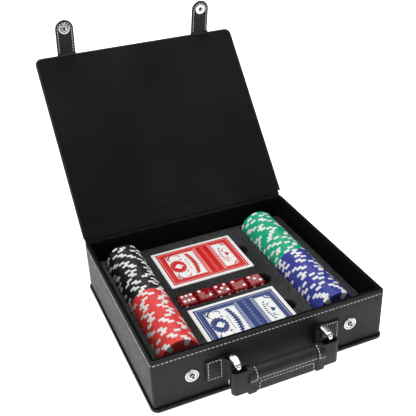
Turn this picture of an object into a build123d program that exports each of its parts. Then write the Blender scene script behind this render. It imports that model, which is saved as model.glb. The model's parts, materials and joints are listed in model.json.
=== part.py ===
"""Poker chip case: an open leather-covered case with chips, card boxes and dice in a foam insert.

Frame: X to the right along the front, the front towards -Y, +Z up. The origin is the centre of the
underside of the base board. The lid is modelled standing open on its stop. Millimetres throughout.
"""
import os
from math import cos, radians, sin

from build123d import *

# ---- driving dimensions: case ----
CASE_W = 229.0          # outside, over the side walls
CASE_D = 202.0          # outside, over the front and back walls
CASE_H = 55.0           # table to rim
WALL = 4.0              # board and its leather
WALL_CORNER_R = 3.0
RIM_R = 1.0
BASE_T = 3.5
COVER_OVERHANG = 2.5    # how far the base stands out past the walls, front and back
SIDE_OVERHANG = 1.8
BASE_CORNER_R = 7.0
BASE_TOP_R, BASE_UNDER_R = 1.0, 0.8
LINING_T = 1.0

# ---- driving dimensions: insert and what lies in it ----
INSERT_TOP = 31.2
INSERT_GAP = 0.2
CHIP_R = 19.75
CHIP_T = 3.3
CHIP_EDGE_R = 0.3
CHIP_PITCH = 3.34
CHIPS_PER_COLOUR = 25
CHIP_AXIS_Z = 28.0
TROUGH_X = 78.4
TROUGH_R = 20.2
TROUGH_FRONT, TROUGH_BACK = -82.0, 91.5
ROW_BACK = {"left": 90.5, "right": 88.0}    # rear face of the last chip in each row
BOX_L, BOX_W, BOX_H = 90.6, 65.4, 18.0      # card box
BOX_WALL = 0.5
BOX_EDGE_R = 0.4
BOX_X = -5.5
BOX_Y = {"red": 49.7, "blue": -54.7}
BOX_BOTTOM = 13.4
CARD_L, CARD_W, CARD_CORNER_R = 88.0, 63.0, 3.2
PACK_T = 16.4           # the cards of one pack, stacked
CARD_GAP = 0.1          # below the cards, inside the box
POCKET_GAP = 0.3
NOTCH_R = 8.0
NOTCH_BOTTOM = 17.0
DIE = 16.8
DIE_R = 2.2
DICE_COUNT = 5
DICE_PITCH = 18.0
DICE_X0 = -44.0
DICE_Y = -7.0
DICE_BOTTOM = 17.4
SLOT_LEFT, SLOT_END_X, SLOT_HALF = -53.8, 36.4, 9.3

# ---- driving dimensions: lid and hinge ----
HINGE_Y, HINGE_Z = 101.6, 56.4
LID_LEAN = 40.6         # back from vertical, open on its stop
LID_LEN = 205.1         # hinge axis to free edge
LID_IN, LID_OUT = 1.1, -3.4     # inner and outer faces, measured from the hinge axis
LID_START = 3.0
LID_W = 231.0
LID_X = 1.0             # the lid sits this far to the right of the case's middle
LID_CORNER_R, LID_HINGE_R = 7.0, 1.0
LINING_INSET = 2.6
LINING_START = 13.5     # hinge axis to the padded lining's lower edge
RECESS = 1.5
RECESS_R = 6.0
PAD_GAP = 0.15          # round the padded lining
PAD_SINK = 0.1          # below the lid's inner face
HINGE_LINING_T = 0.5
HINGE_LINING_START = 4.0
HINGE_STRIP_LOW = 8.0
HINGE_STRIP_INSET = 1.0
HINGE_STRIP_T = 1.2
HINGE_BEAD_R = 1.2

# ---- driving dimensions: straps and snaps ----
STRAP_X = 78.5
STRAP_W = 19.8
STRAP_T = 1.8
STRAP_AXIS_S, STRAP_AXIS_N = 206.9, -0.6    # fold line, in the lid's plane
STRAP_LEAN = {"left": -10.0, "right": -13.0}  # from vertical, as the two straps stand
STRAP_START = 1.4
SNAP_AT = 29.0          # fold line to snap centre
SNAP_HOLE_R = 2.4
STRAP_TIP = 38.5
ROOT_LEN = 28.0
ROOT_T = 2.0
ROOT_CLEAR = 0.2        # from the lid's free edge
ROOT_LIP = 1.5          # how far the root laps inwards over the lid's edge
SNAP_R = 6.2
SOCKET_T, SOCKET_BORE_R, SOCKET_EDGE_R = 1.2, 2.3, 0.4
CAP_T, CAP_EDGE_R = 1.6, 1.0
STUD_Z = 28.0
STUD_FLANGE_R, STUD_FLANGE_T = 6.6, 0.9
STUD_R, STUD_LEN = 1.9, 2.0
STUD_BORE_R = 0.9

# ---- driving dimensions: handle ----
RING_X = 44.3
TAB_PIVOT_Y = -105.3
LOOP_PIVOT_Y = -122.0
LOOP_END_X = 47.0       # centre of the loop's rounded end, past the ring's bar
HANDLE_Z = 25.6
STRIP_H = 24.0
TAB_Z, TAB_H = 27.3, 22.0
SLEEVE_IN, SLEEVE_OUT = 3.4, 4.5
TAB_END_X = 66.5
TAB_T = 1.6
TAB_LIFT = 5.7          # the tab leaves the wall this far outside the ring
TAB_TANGENT_X, TAB_TANGENT_Y = 4.2, 1.4     # where it meets the sleeve, from the ring's bar
RING_BAR = 2.8
RING_H, RING_Z = 35.6, 26.2
RING_CORNER_R = 5.0
RING_EDGE_R = 0.5
LENS_HALF_X, LENS_HALF_Y = 3.75, 10.5       # the ring seen from above, widest at its middle
GRIP_HALF = 37.0
BAND_INNER = 29.0
ROLL_R, ROLL_Z = 6.4, 29.2
FLAP_HALF_T, FLAP_BOTTOM = 3.6, 10.2
BAND_T = 0.8
CORE_T, CORE_H, CORE_Z = 2.4, 17.0, 24.0
LOOP_WEB = 2.0          # solid leather between the loop's hollow and the grip

OUT = "parts"
os.makedirs(OUT, exist_ok=True)


def save(builder, name):
    """Labels a finished piece and writes it as its own STEP file."""
    builder.part.label = name
    export_step(builder.part, f"{OUT}/{name}.step")


half_w, half_d = CASE_W / 2, CASE_D / 2
wall_h = CASE_H - BASE_T

# ---- base board ----
with BuildPart() as base_board:
    with BuildSketch():
        RectangleRounded(CASE_W + 2 * SIDE_OVERHANG, CASE_D + 2 * COVER_OVERHANG, BASE_CORNER_R)
    extrude(amount=BASE_T)
    fillet(base_board.faces().sort_by(Axis.Z)[-1].edges(), radius=BASE_TOP_R)
    fillet(base_board.faces().sort_by(Axis.Z)[0].edges(), radius=BASE_UNDER_R)
save(base_board, "base_board")

# ---- front and back walls: full width, rounded outer corners ----
for name, side in (("front_wall", -1), ("back_wall", 1)):
    with BuildPart() as wall:
        with BuildSketch(Plane.XY.offset(BASE_T)):
            with Locations((0, side * (half_d - WALL / 2))):
                Rectangle(CASE_W, WALL)
        extrude(amount=wall_h)
        outer_face = wall.faces().sort_by(Axis.Y)[0 if side < 0 else -1]
        fillet(outer_face.edges().filter_by(Axis.Z), radius=WALL_CORNER_R)
        fillet(wall.faces().sort_by(Axis.Z)[-1].edges().filter_by(Axis.X), radius=RIM_R)
    save(wall, name)

# ---- side walls: between the front and back walls ----
for name, side in (("left_wall", -1), ("right_wall", 1)):
    with BuildPart() as wall:
        with BuildSketch(Plane.XY.offset(BASE_T)):
            with Locations((side * (half_w - WALL / 2), 0)):
                Rectangle(WALL, CASE_D - 2 * WALL)
        extrude(amount=wall_h)
        fillet(wall.faces().sort_by(Axis.Z)[-1].edges().filter_by(Axis.Y), radius=RIM_R)
    save(wall, name)

# ---- lining: a thin frame against the insides of the four walls ----
inner_w, inner_d = CASE_W - 2 * WALL, CASE_D - 2 * WALL
with BuildPart() as wall_lining:
    with BuildSketch(Plane.XY.offset(BASE_T)):
        Rectangle(inner_w, inner_d)
        Rectangle(inner_w - 2 * LINING_T, inner_d - 2 * LINING_T, mode=Mode.SUBTRACT)
    extrude(amount=wall_h - RIM_R)
save(wall_lining, "wall_lining")

# ---- foam insert: two chip troughs, two card pockets with finger notches, one dice slot ----
insert_w = inner_w - 2 * LINING_T - 2 * INSERT_GAP
insert_d = inner_d - 2 * LINING_T - 2 * INSERT_GAP
with BuildPart() as foam_insert:
    with BuildSketch(Plane.XY.offset(BASE_T)):
        Rectangle(insert_w, insert_d)
    extrude(amount=INSERT_TOP - BASE_T)
    with BuildSketch(Plane.XZ.offset(-TROUGH_BACK)):
        with Locations((-TROUGH_X, CHIP_AXIS_Z), (TROUGH_X, CHIP_AXIS_Z)):
            Circle(TROUGH_R)
            Rectangle(2 * TROUGH_R, TROUGH_R, align=(Align.CENTER, Align.MIN))
    extrude(amount=TROUGH_BACK - TROUGH_FRONT, mode=Mode.SUBTRACT)
    with BuildSketch(Plane.XY.offset(INSERT_TOP)):
        for y in BOX_Y.values():
            with Locations((BOX_X, y)):
                Rectangle(BOX_L + 2 * POCKET_GAP, BOX_W + 2 * POCKET_GAP)
    extrude(amount=BOX_BOTTOM - POCKET_GAP / 2 - INSERT_TOP, mode=Mode.SUBTRACT)
    with BuildSketch(Plane.XY.offset(INSERT_TOP)):
        for y in BOX_Y.values():
            with Locations((BOX_X + BOX_L / 2, y)):
                Circle(NOTCH_R)
    extrude(amount=NOTCH_BOTTOM - INSERT_TOP, mode=Mode.SUBTRACT)
    with BuildSketch(Plane.XY.offset(INSERT_TOP)):
        with Locations(((SLOT_LEFT + SLOT_END_X) / 2, DICE_Y)):
            Rectangle(SLOT_END_X - SLOT_LEFT, 2 * SLOT_HALF)
        with Locations((SLOT_END_X, DICE_Y)):
            Circle(SLOT_HALF)
    extrude(amount=DICE_BOTTOM - POCKET_GAP / 2 - INSERT_TOP, mode=Mode.SUBTRACT)
save(foam_insert, "foam_insert")

# ---- hinge strip: leather down the back wall, with a bead on the hinge axis ----
with BuildPart() as hinge_strip:
    with BuildSketch(Plane.YZ.offset(HINGE_STRIP_INSET - half_w)):
        with Locations((half_d + HINGE_STRIP_T / 2, HINGE_STRIP_LOW)):
            Rectangle(HINGE_STRIP_T, HINGE_Z - HINGE_STRIP_LOW, align=(Align.CENTER, Align.MIN))
        with Locations((HINGE_Y, HINGE_Z)):
            Circle(HINGE_BEAD_R)
        with Locations((half_d - HINGE_BEAD_R, CASE_H)):
            Rectangle(HINGE_BEAD_R, HINGE_Z, align=(Align.MIN, Align.MAX), mode=Mode.SUBTRACT)
    extrude(amount=CASE_W - 2 * HINGE_STRIP_INSET)
save(hinge_strip, "hinge_strip")

# ---- poker chips: four colours, each a row of loose discs ----
for name, side, first in (
    ("chips_black", "left", 0),
    ("chips_red", "left", CHIPS_PER_COLOUR),
    ("chips_green", "right", 0),
    ("chips_blue", "right", CHIPS_PER_COLOUR),
):
    x = -TROUGH_X if side == "left" else TROUGH_X
    with BuildPart() as chips:
        for i in range(first, first + CHIPS_PER_COLOUR):
            back_face = Plane.XZ.offset(-(ROW_BACK[side] - i * CHIP_PITCH))
            with BuildSketch(back_face):
                with Locations((x, CHIP_AXIS_Z)):
                    Circle(CHIP_R)
            extrude(amount=CHIP_T)
        fillet(chips.edges().filter_by(GeomType.CIRCLE), radius=CHIP_EDGE_R)
    save(chips, name)

# ---- card boxes and the packs of cards inside them ----
for colour, y in BOX_Y.items():
    with BuildPart() as card_box:
        with BuildSketch(Plane.XY.offset(BOX_BOTTOM)):
            with Locations((BOX_X, y)):
                Rectangle(BOX_L, BOX_W)
        extrude(amount=BOX_H)
        fillet(card_box.edges(), radius=BOX_EDGE_R)
        with BuildSketch(Plane.XY.offset(BOX_BOTTOM + BOX_WALL)):
            with Locations((BOX_X, y)):
                Rectangle(BOX_L - 2 * BOX_WALL, BOX_W - 2 * BOX_WALL)
        extrude(amount=BOX_H - 2 * BOX_WALL, mode=Mode.SUBTRACT)
    save(card_box, f"card_box_{colour}")
    with BuildPart() as cards:
        with BuildSketch(Plane.XY.offset(BOX_BOTTOM + BOX_WALL + CARD_GAP)):
            with Locations((BOX_X, y)):
                RectangleRounded(CARD_L, CARD_W, CARD_CORNER_R)
        extrude(amount=PACK_T)
    save(cards, f"playing_cards_{colour}")

# ---- dice ----
for i in range(DICE_COUNT):
    with BuildPart() as die:
        with BuildSketch(Plane.XY.offset(DICE_BOTTOM)):
            with Locations((DICE_X0 + i * DICE_PITCH, DICE_Y)):
                Rectangle(DIE, DIE)
        extrude(amount=DIE)
        fillet(die.edges(), radius=DIE_R)
    save(die, f"die_{i + 1}")

# ---- lid: a flat board with a shallow recess for its padded lining ----
lean = radians(LID_LEAN)
lid_up = Vector(0, sin(lean), cos(lean))        # from the hinge to the free edge
lid_in = Vector(0, -cos(lean), sin(lean))       # out of the lined face
hinge_at = Vector(0, HINGE_Y, HINGE_Z)


def lid_plane(along=0.0, offset=0.0, x=LID_X):
    """Plane of the lid: local Y runs up the lid, local Z out of the lined face."""
    origin = hinge_at + lid_up * along + lid_in * offset + Vector(x, 0, 0)
    return Plane(origin=origin, x_dir=(1, 0, 0), z_dir=lid_in)


lining_w = LID_W - 2 * LINING_INSET
lining_len = LID_LEN - LINING_INSET - LINING_START
lining_mid = (LINING_START + LID_LEN - LINING_INSET) / 2
hinge_lining_mid = (HINGE_LINING_START + LINING_START) / 2
hinge_lining_len = LINING_START - HINGE_LINING_START
with BuildPart() as lid_board:
    with BuildSketch(lid_plane((LID_START + LID_LEN) / 2, LID_OUT)) as outline:
        Rectangle(LID_W, LID_LEN - LID_START)
        fillet(outline.vertices().group_by(Axis.Y)[-1], radius=LID_CORNER_R)
        fillet(outline.vertices().group_by(Axis.Y)[0], radius=LID_HINGE_R)
    extrude(amount=LID_IN - LID_OUT)
    with BuildSketch(lid_plane(lining_mid, LID_IN)):
        RectangleRounded(lining_w, lining_len, RECESS_R)
    extrude(amount=-RECESS, mode=Mode.SUBTRACT)
    with BuildSketch(lid_plane(hinge_lining_mid, LID_IN)):
        Rectangle(lining_w, hinge_lining_len)
    extrude(amount=-(HINGE_LINING_T + PAD_SINK), mode=Mode.SUBTRACT)
save(lid_board, "lid_board")

with BuildPart() as lid_lining:
    with BuildSketch(lid_plane(lining_mid, LID_IN - RECESS)):
        RectangleRounded(lining_w - 2 * PAD_GAP, lining_len - 2 * PAD_GAP, RECESS_R - PAD_GAP)
    extrude(amount=RECESS - PAD_SINK)
save(lid_lining, "lid_lining")

# ---- hinge lining: thin fabric between the padded lining and the hinge ----
with BuildPart() as hinge_lining:
    with BuildSketch(lid_plane(hinge_lining_mid, LID_IN - HINGE_LINING_T - PAD_SINK)):
        Rectangle(lining_w - 2 * PAD_GAP, hinge_lining_len - 2 * PAD_GAP)
    extrude(amount=HINGE_LINING_T)
save(hinge_lining, "hinge_lining")

# ---- closing straps: a root sewn to the lid, a free end with a snap socket and its cap ----


def strap_plane(side, sign, along, offset):
    """Plane of one free strap end: local Y towards its tip, local Z out of its socket side."""
    tilt = radians(STRAP_LEAN[side])
    up, inward = Vector(0, sin(tilt), cos(tilt)), Vector(0, -cos(tilt), sin(tilt))
    fold = hinge_at + lid_up * STRAP_AXIS_S + lid_in * STRAP_AXIS_N + Vector(sign * STRAP_X, 0, 0)
    return Plane(origin=fold + up * along + inward * offset, x_dir=(1, 0, 0), z_dir=inward)


lip_len = STRAP_AXIS_S - LID_LEN - ROOT_CLEAR
straight = STRAP_TIP - STRAP_W / 2 - STRAP_START
for side, sign in (("left", -1), ("right", 1)):
    x = sign * STRAP_X
    with BuildPart() as strap_root:
        with BuildSketch(lid_plane(STRAP_AXIS_S - ROOT_LEN / 2, LID_OUT - ROOT_T, x)):
            Rectangle(STRAP_W, ROOT_LEN)
        extrude(amount=ROOT_T)
        with BuildSketch(lid_plane(STRAP_AXIS_S - lip_len / 2, LID_OUT - ROOT_T / 2, x)):
            Rectangle(STRAP_W, lip_len)
        extrude(amount=ROOT_T / 2 + ROOT_LIP)
    save(strap_root, f"strap_root_{side}")

    with BuildPart() as strap:
        with BuildSketch(strap_plane(side, sign, 0, -STRAP_T / 2)):
            with Locations((0, STRAP_START + straight / 2)):
                Rectangle(STRAP_W, straight)
            with Locations((0, STRAP_TIP - STRAP_W / 2)):
                Circle(STRAP_W / 2)
            with Locations((0, SNAP_AT)):
                Circle(SNAP_HOLE_R, mode=Mode.SUBTRACT)
        extrude(amount=STRAP_T)
    save(strap, f"closing_strap_{side}")

    socket_plane = strap_plane(side, sign, SNAP_AT, STRAP_T / 2)
    outward = Axis(tuple(socket_plane.origin), tuple(socket_plane.z_dir))
    with BuildPart() as socket:
        with BuildSketch(socket_plane):
            Circle(SNAP_R)
            Circle(SOCKET_BORE_R, mode=Mode.SUBTRACT)
        extrude(amount=SOCKET_T)
        fillet(socket.faces().sort_by(outward)[-1].edges(), radius=SOCKET_EDGE_R)
    save(socket, f"snap_socket_{side}")

    with BuildPart() as cap:
        with BuildSketch(strap_plane(side, sign, SNAP_AT, -STRAP_T / 2)):
            Circle(SNAP_R)
        extrude(amount=-CAP_T)
        fillet(cap.faces().sort_by(outward)[0].edges(), radius=CAP_EDGE_R)
    save(cap, f"snap_cap_{side}")

    # snap stud on the front wall: flange and hollow stud
    with BuildPart() as stud:
        with BuildSketch(Plane.XZ.offset(half_d)):
            with Locations((x, STUD_Z)):
                Circle(STUD_FLANGE_R)
        extrude(amount=STUD_FLANGE_T)
        with BuildSketch(Plane.XZ.offset(half_d + STUD_FLANGE_T)):
            with Locations((x, STUD_Z)):
                Circle(STUD_R)
        extrude(amount=STUD_LEN)
        with BuildSketch(Plane.XZ.offset(half_d + STUD_FLANGE_T + STUD_LEN)):
            with Locations((x, STUD_Z)):
                Circle(STUD_BORE_R)
        extrude(amount=-STUD_LEN, mode=Mode.SUBTRACT)
    save(stud, f"snap_stud_{side}")

# ---- handle anchors: a tab sewn to the front wall, folded round the ring's inner bar ----
strip_low = HANDLE_Z - STRIP_H / 2
wall_y = -half_d
ring_mid_y = (TAB_PIVOT_Y + LOOP_PIVOT_Y) / 2
ring_w = TAB_PIVOT_Y - LOOP_PIVOT_Y + RING_BAR
for side, sign in (("left", -1), ("right", 1)):
    with BuildPart() as tab:
        with BuildSketch(Plane.XY.offset(TAB_Z - TAB_H / 2)):
            with BuildLine():
                Polyline(
                    (sign * RING_X, wall_y),
                    (sign * TAB_END_X, wall_y),
                    (sign * TAB_END_X, wall_y - TAB_T),
                    (sign * (RING_X + TAB_LIFT), wall_y - TAB_T),
                    (sign * (RING_X + TAB_TANGENT_X), TAB_PIVOT_Y - TAB_TANGENT_Y),
                    (sign * RING_X, TAB_PIVOT_Y),
                    close=True,
                )
            make_face()
            with Locations((sign * RING_X, TAB_PIVOT_Y)):
                Circle(SLEEVE_OUT)
                Circle(SLEEVE_IN, mode=Mode.SUBTRACT)
            with Locations((0, wall_y)):
                Rectangle(CASE_W, SLEEVE_OUT, align=(Align.CENTER, Align.MIN), mode=Mode.SUBTRACT)
        extrude(amount=TAB_H)
    save(tab, f"handle_tab_{side}")

    with BuildPart() as ring:
        with BuildSketch(Plane.YZ.offset(sign * RING_X - LENS_HALF_X)):
            with Locations((ring_mid_y, RING_Z)):
                RectangleRounded(ring_w, RING_H, RING_CORNER_R)
                RectangleRounded(ring_w - 2 * RING_BAR, RING_H - 2 * RING_BAR, RING_CORNER_R - RING_BAR,
                                 mode=Mode.SUBTRACT)
        extrude(amount=2 * LENS_HALF_X)
        with BuildSketch(Plane.XY.offset(RING_Z - RING_H / 2)):
            with Locations((sign * RING_X, ring_mid_y)):
                Ellipse(LENS_HALF_X, LENS_HALF_Y)
        extrude(amount=RING_H, mode=Mode.INTERSECT)
        fillet(ring.edges(), radius=RING_EDGE_R)
    save(ring, f"ring_{side}")

    # end loop: the handle's strip folded round the ring's outer bar
    hollow_len = LOOP_END_X - GRIP_HALF - LOOP_WEB
    with BuildPart() as loop:
        with BuildSketch(Plane.XY.offset(strip_low)):
            with Locations((sign * LOOP_END_X, LOOP_PIVOT_Y)):
                Circle(SLEEVE_OUT)
            with Locations((sign * (LOOP_END_X + GRIP_HALF) / 2, LOOP_PIVOT_Y)):
                Rectangle(LOOP_END_X - GRIP_HALF, 2 * SLEEVE_OUT)
            with Locations((sign * LOOP_END_X, LOOP_PIVOT_Y)):
                Circle(SLEEVE_IN, mode=Mode.SUBTRACT)
            with Locations((sign * (LOOP_END_X - hollow_len / 2), LOOP_PIVOT_Y)):
                Rectangle(hollow_len, 2 * SLEEVE_IN, mode=Mode.SUBTRACT)
        extrude(amount=STRIP_H)
    save(loop, f"handle_loop_{side}")

# ---- grip: a leather roll with a flat flap sewn along it, over a core strip ----


def roll_section(grow=0.0, mode=Mode.ADD):
    """Round part of the grip's section, on a YZ plane."""
    with Locations((LOOP_PIVOT_Y, ROLL_Z)):
        Circle(ROLL_R + grow, mode=mode)


def flap_section(grow=0.0, mode=Mode.ADD):
    """Flat part of the grip's section, below the roll."""
    with Locations((LOOP_PIVOT_Y, FLAP_BOTTOM - grow)):
        Rectangle(2 * (FLAP_HALF_T + grow), ROLL_Z - FLAP_BOTTOM + grow,
                  align=(Align.CENTER, Align.MIN), mode=mode)


def core_section(mode=Mode.ADD):
    """Core strip, standing inside roll and flap."""
    with Locations((LOOP_PIVOT_Y, CORE_Z)):
        Rectangle(CORE_T, CORE_H, mode=mode)


with BuildPart() as handle_core:
    with BuildSketch(Plane.YZ.offset(-GRIP_HALF)):
        core_section()
    extrude(amount=2 * GRIP_HALF)
save(handle_core, "handle_core_strip")

with BuildPart() as grip_roll:
    with BuildSketch(Plane.YZ.offset(-GRIP_HALF)):
        roll_section()
        core_section(Mode.SUBTRACT)
    extrude(amount=2 * GRIP_HALF)
save(grip_roll, "grip_roll")

with BuildPart() as grip_flap:
    with BuildSketch(Plane.YZ.offset(-GRIP_HALF)):
        flap_section()
        roll_section(mode=Mode.SUBTRACT)
        core_section(Mode.SUBTRACT)
    extrude(amount=2 * GRIP_HALF)
save(grip_flap, "grip_flap")

for side, start in (("left", -GRIP_HALF), ("right", BAND_INNER)):
    with BuildPart() as band:
        with BuildSketch(Plane.YZ.offset(start)):
            roll_section(BAND_T)
            flap_section(BAND_T)
            roll_section(mode=Mode.SUBTRACT)
            flap_section(mode=Mode.SUBTRACT)
        extrude(amount=GRIP_HALF - BAND_INNER)
    save(band, f"grip_band_{side}")
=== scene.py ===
"""Poker chip case: detailed pieces, materials, light and camera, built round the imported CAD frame.

Shapes are worked out in millimetres in the frame's own axes and scaled to metres as each piece is made.
"""

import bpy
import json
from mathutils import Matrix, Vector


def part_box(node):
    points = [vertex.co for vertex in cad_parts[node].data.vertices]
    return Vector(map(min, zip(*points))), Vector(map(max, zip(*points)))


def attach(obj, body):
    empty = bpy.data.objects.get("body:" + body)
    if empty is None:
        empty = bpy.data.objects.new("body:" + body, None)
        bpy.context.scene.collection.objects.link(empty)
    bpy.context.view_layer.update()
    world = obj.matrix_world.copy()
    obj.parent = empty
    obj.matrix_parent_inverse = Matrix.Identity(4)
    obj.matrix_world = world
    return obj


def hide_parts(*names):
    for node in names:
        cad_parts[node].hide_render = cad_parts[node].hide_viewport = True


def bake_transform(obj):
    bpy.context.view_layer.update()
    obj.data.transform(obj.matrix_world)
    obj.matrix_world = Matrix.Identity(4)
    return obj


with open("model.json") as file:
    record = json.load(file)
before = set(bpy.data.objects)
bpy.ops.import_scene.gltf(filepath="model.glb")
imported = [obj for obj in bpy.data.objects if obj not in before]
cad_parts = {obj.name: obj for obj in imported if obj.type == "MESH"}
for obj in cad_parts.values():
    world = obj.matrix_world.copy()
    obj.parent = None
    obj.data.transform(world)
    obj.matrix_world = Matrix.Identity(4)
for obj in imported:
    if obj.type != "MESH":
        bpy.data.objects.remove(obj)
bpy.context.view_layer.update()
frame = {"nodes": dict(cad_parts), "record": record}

import json
import math
import random
from math import cos, pi, radians, sin

import bmesh
import bpy
from mathutils import Matrix, Vector, noise

MM = 0.001
UP, FRONT = Vector((0, 0, 1)), Vector((0, -1, 0))
RIGHT = Vector((1, 0, 0))
SIDES = (("left", -1), ("right", 1))


def box_mm(node):
    """A CAD node's lowest and highest corners, in millimetres."""
    return [Vector(v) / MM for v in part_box(node)]


# ---------------------------------------------------------------- materials


class Finish:
    """A material with a Principled shader and helpers that add the nodes feeding it."""

    def __init__(self, name, **constants):
        self.mat = bpy.data.materials.new(name)
        self.mat.use_nodes = True
        self.tree = self.mat.node_tree
        self.shader = self.tree.nodes["Principled BSDF"]
        self.place = self.tree.nodes.new("ShaderNodeTexCoord").outputs["Object"]
        self.bumps = None
        for socket, value in constants.items():
            self.shader.inputs[socket.replace("_", " ")].default_value = value

    def node(self, kind, links=(), **settings):
        n = self.tree.nodes.new(kind)
        for key, value in settings.items():
            if key in n.inputs:
                n.inputs[key].default_value = value
            else:
                setattr(n, key, value)
        for socket, source in links:
            self.tree.links.new(source, n.inputs[socket])
        return n

    def noise(self, per_metre, detail=3.0, rough=0.55, stretch=(1, 1, 1)):
        place = self.place
        if stretch != (1, 1, 1):
            place = self.node("ShaderNodeMapping", [("Vector", place)], Scale=stretch).outputs[0]
        n = self.node("ShaderNodeTexNoise", [("Vector", place)], Scale=per_metre, Detail=detail,
                      Roughness=rough)
        return n.outputs["Fac"]

    def cells(self, per_metre, feature="DISTANCE_TO_EDGE", warp=0.0):
        place = self.place
        if warp:
            wobble = self.node("ShaderNodeTexNoise", [("Vector", place)], Scale=per_metre * 0.6, Detail=2.0)
            place = self.node("ShaderNodeMixRGB", [("Color1", place), ("Color2", wobble.outputs["Color"])],
                              blend_type="ADD", Fac=warp / per_metre).outputs[0]
        n = self.node("ShaderNodeTexVoronoi", [("Vector", place)], feature=feature, Scale=per_metre)
        return n.outputs["Distance"]

    def span(self, fac, low, high, start=0.0, end=1.0):
        n = self.node("ShaderNodeMapRange", [("Value", fac)])
        for i, v in enumerate((start, end, low, high), 1):
            n.inputs[i].default_value = v
        return n.outputs[0]

    def ramp(self, fac, *stops):
        n = self.node("ShaderNodeValToRGB", [("Fac", fac)])
        points = n.color_ramp.elements
        while len(points) < len(stops):
            points.new(0.5)
        for point, (at, colour) in zip(points, stops):
            point.position, point.color = at, (*colour, 1)
        return n.outputs[0]

    def darken(self, colour, fac):
        return self.node("ShaderNodeMixRGB", [("Color1", colour), ("Color2", fac)], blend_type="MULTIPLY",
                         Fac=1.0).outputs[0]

    def put(self, socket, source):
        self.tree.links.new(source, self.shader.inputs[socket])

    def bump(self, height, strength, depth_mm):
        links = [("Height", height)] + ([("Normal", self.bumps)] if self.bumps else [])
        self.bumps = self.node("ShaderNodeBump", links, Strength=strength, Distance=depth_mm * MM).outputs[0]
        self.put("Normal", self.bumps)


def shades(colour, *factors):
    return [tuple(min(1.0, c * f) for c in colour) for f in factors]


def leather(name, colour, rough=0.5, grain=760):
    m = Finish(name, Specular_IOR_Level=0.22, Coat_Weight=0.03, Coat_Roughness=0.4)
    dark, mid, light = shades(colour, 0.7, 1.0, 1.35)
    tone = m.ramp(m.noise(38, 4.0), (0.3, dark), (0.5, mid), (0.72, light))
    creases = m.cells(grain, warp=0.9)
    # the grain's crease lines are darkened in the base colour: partly the grain's own tone and partly painted
    # shade in the creases
    m.put("Base Color", m.darken(tone, m.ramp(creases, (0.0, (0.6,) * 3), (0.12, (1.0,) * 3))))
    m.put("Roughness", m.span(m.noise(160, 3.0), rough - 0.07, rough + 0.08, 0.3, 0.7))
    m.bump(m.ramp(creases, (0.0, (0.0,) * 3), (0.2, (1.0,) * 3)), 0.35, 0.12)
    m.bump(m.noise(2600, 2.0), 0.2, 0.06)
    m.bump(m.noise(55, 2.0), 0.12, 0.35)
    return m.mat


def pile(name, colour, sheen, tip, fleck=2400, patch=9.0, ground=0.55):
    """Velvet or flock: a dark ground, with random patches painted brighter as painted sheen where the pile
    leans, and a soft sheen.
    """
    m = Finish(name, Specular_IOR_Level=0.12, Sheen_Weight=sheen, Sheen_Roughness=0.45,
               Sheen_Tint=(*tip, 1))
    low, mid, high = shades(colour, 0.62, 1.0, 1.7)
    # painted sheen: random lighter and darker patches stand for light caught by the leaning pile
    nap = m.ramp(m.noise(patch, 3.0, 0.5, (1.0, 0.7, 0.8)), (0.33, low), (0.52, mid), (0.75, high))
    grains = m.noise(fleck, 2.0, 0.7)
    m.put("Base Color", m.darken(nap, m.ramp(grains, (0.36, (ground,) * 3), (0.62, (1.0,) * 3))))
    m.put("Roughness", m.span(grains, 0.82, 1.0))
    m.bump(grains, 0.5, 0.18)
    m.bump(m.noise(70, 2.0), 0.15, 0.3)
    return m.mat


def metal(name, colour=(0.86, 0.86, 0.87), rough=0.13):
    m = Finish(name, Metallic=1.0)
    low, high = shades(colour, 0.86, 1.06)
    m.put("Base Color", m.ramp(m.noise(120, 3.0), (0.35, low), (0.65, high)))
    scuffs = m.noise(1400, 3.0, 0.6, (1.0, 1.0, 5.0))
    m.put("Roughness", m.span(scuffs, rough - 0.04, rough + 0.12, 0.35, 0.75))
    m.bump(scuffs, 0.06, 0.03)
    return m.mat


def thread(name, colour):
    m = Finish(name, Sheen_Weight=0.2, Specular_IOR_Level=0.25)
    low, high = shades(colour, 0.78, 1.08)
    strands = m.noise(1500, 2.0, 0.6)
    m.put("Base Color", m.ramp(strands, (0.32, low), (0.6, high)))
    m.put("Roughness", m.span(strands, 0.6, 0.85))
    m.bump(strands, 0.5, 0.12)
    return m.mat


def plastic(name, colour, rough=0.38, mottle=0.12):
    """Moulded clay-composite plastic: slightly mottled, with fine tool marks."""
    m = Finish(name, Specular_IOR_Level=0.5)
    low, mid, high = shades(colour, 1 - mottle, 1.0, 1 + mottle)
    m.put("Base Color", m.ramp(m.noise(210, 3.0), (0.3, low), (0.5, mid), (0.7, high)))
    fine = m.noise(1900, 3.0)
    m.put("Roughness", m.span(fine, rough - 0.08, rough + 0.12, 0.3, 0.7))
    m.bump(fine, 0.18, 0.07)
    return m.mat


def printed(name, colour, rough=0.34):
    """Printed, varnished card: even ink with faint fibre and a slight gloss change."""
    m = Finish(name, Specular_IOR_Level=0.22, Coat_Weight=0.05, Coat_Roughness=0.25)
    low, high = shades(colour, 0.9, 1.04)
    fibre = m.noise(900, 4.0, 0.6, (1.0, 0.35, 1.0))
    m.put("Base Color", m.ramp(fibre, (0.32, low), (0.62, high)))
    m.put("Roughness", m.span(m.noise(140, 3.0), rough - 0.05, rough + 0.1, 0.3, 0.7))
    m.bump(fibre, 0.08, 0.05)
    return m.mat


def clear_red(name):
    """Clear red die: light passes through, a little cloudy, with soft handling marks."""
    m = Finish(name, Transmission_Weight=0.7, IOR=1.47, Specular_IOR_Level=0.5)
    m.put("Base Color", m.ramp(m.noise(90, 2.0), (0.3, (0.62, 0.002, 0.01)), (0.7, (0.85, 0.006, 0.018))))
    marks = m.noise(480, 3.0)
    m.put("Roughness", m.span(marks, 0.03, 0.09, 0.35, 0.75))
    m.bump(marks, 0.04, 0.05)
    return m.mat


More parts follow.
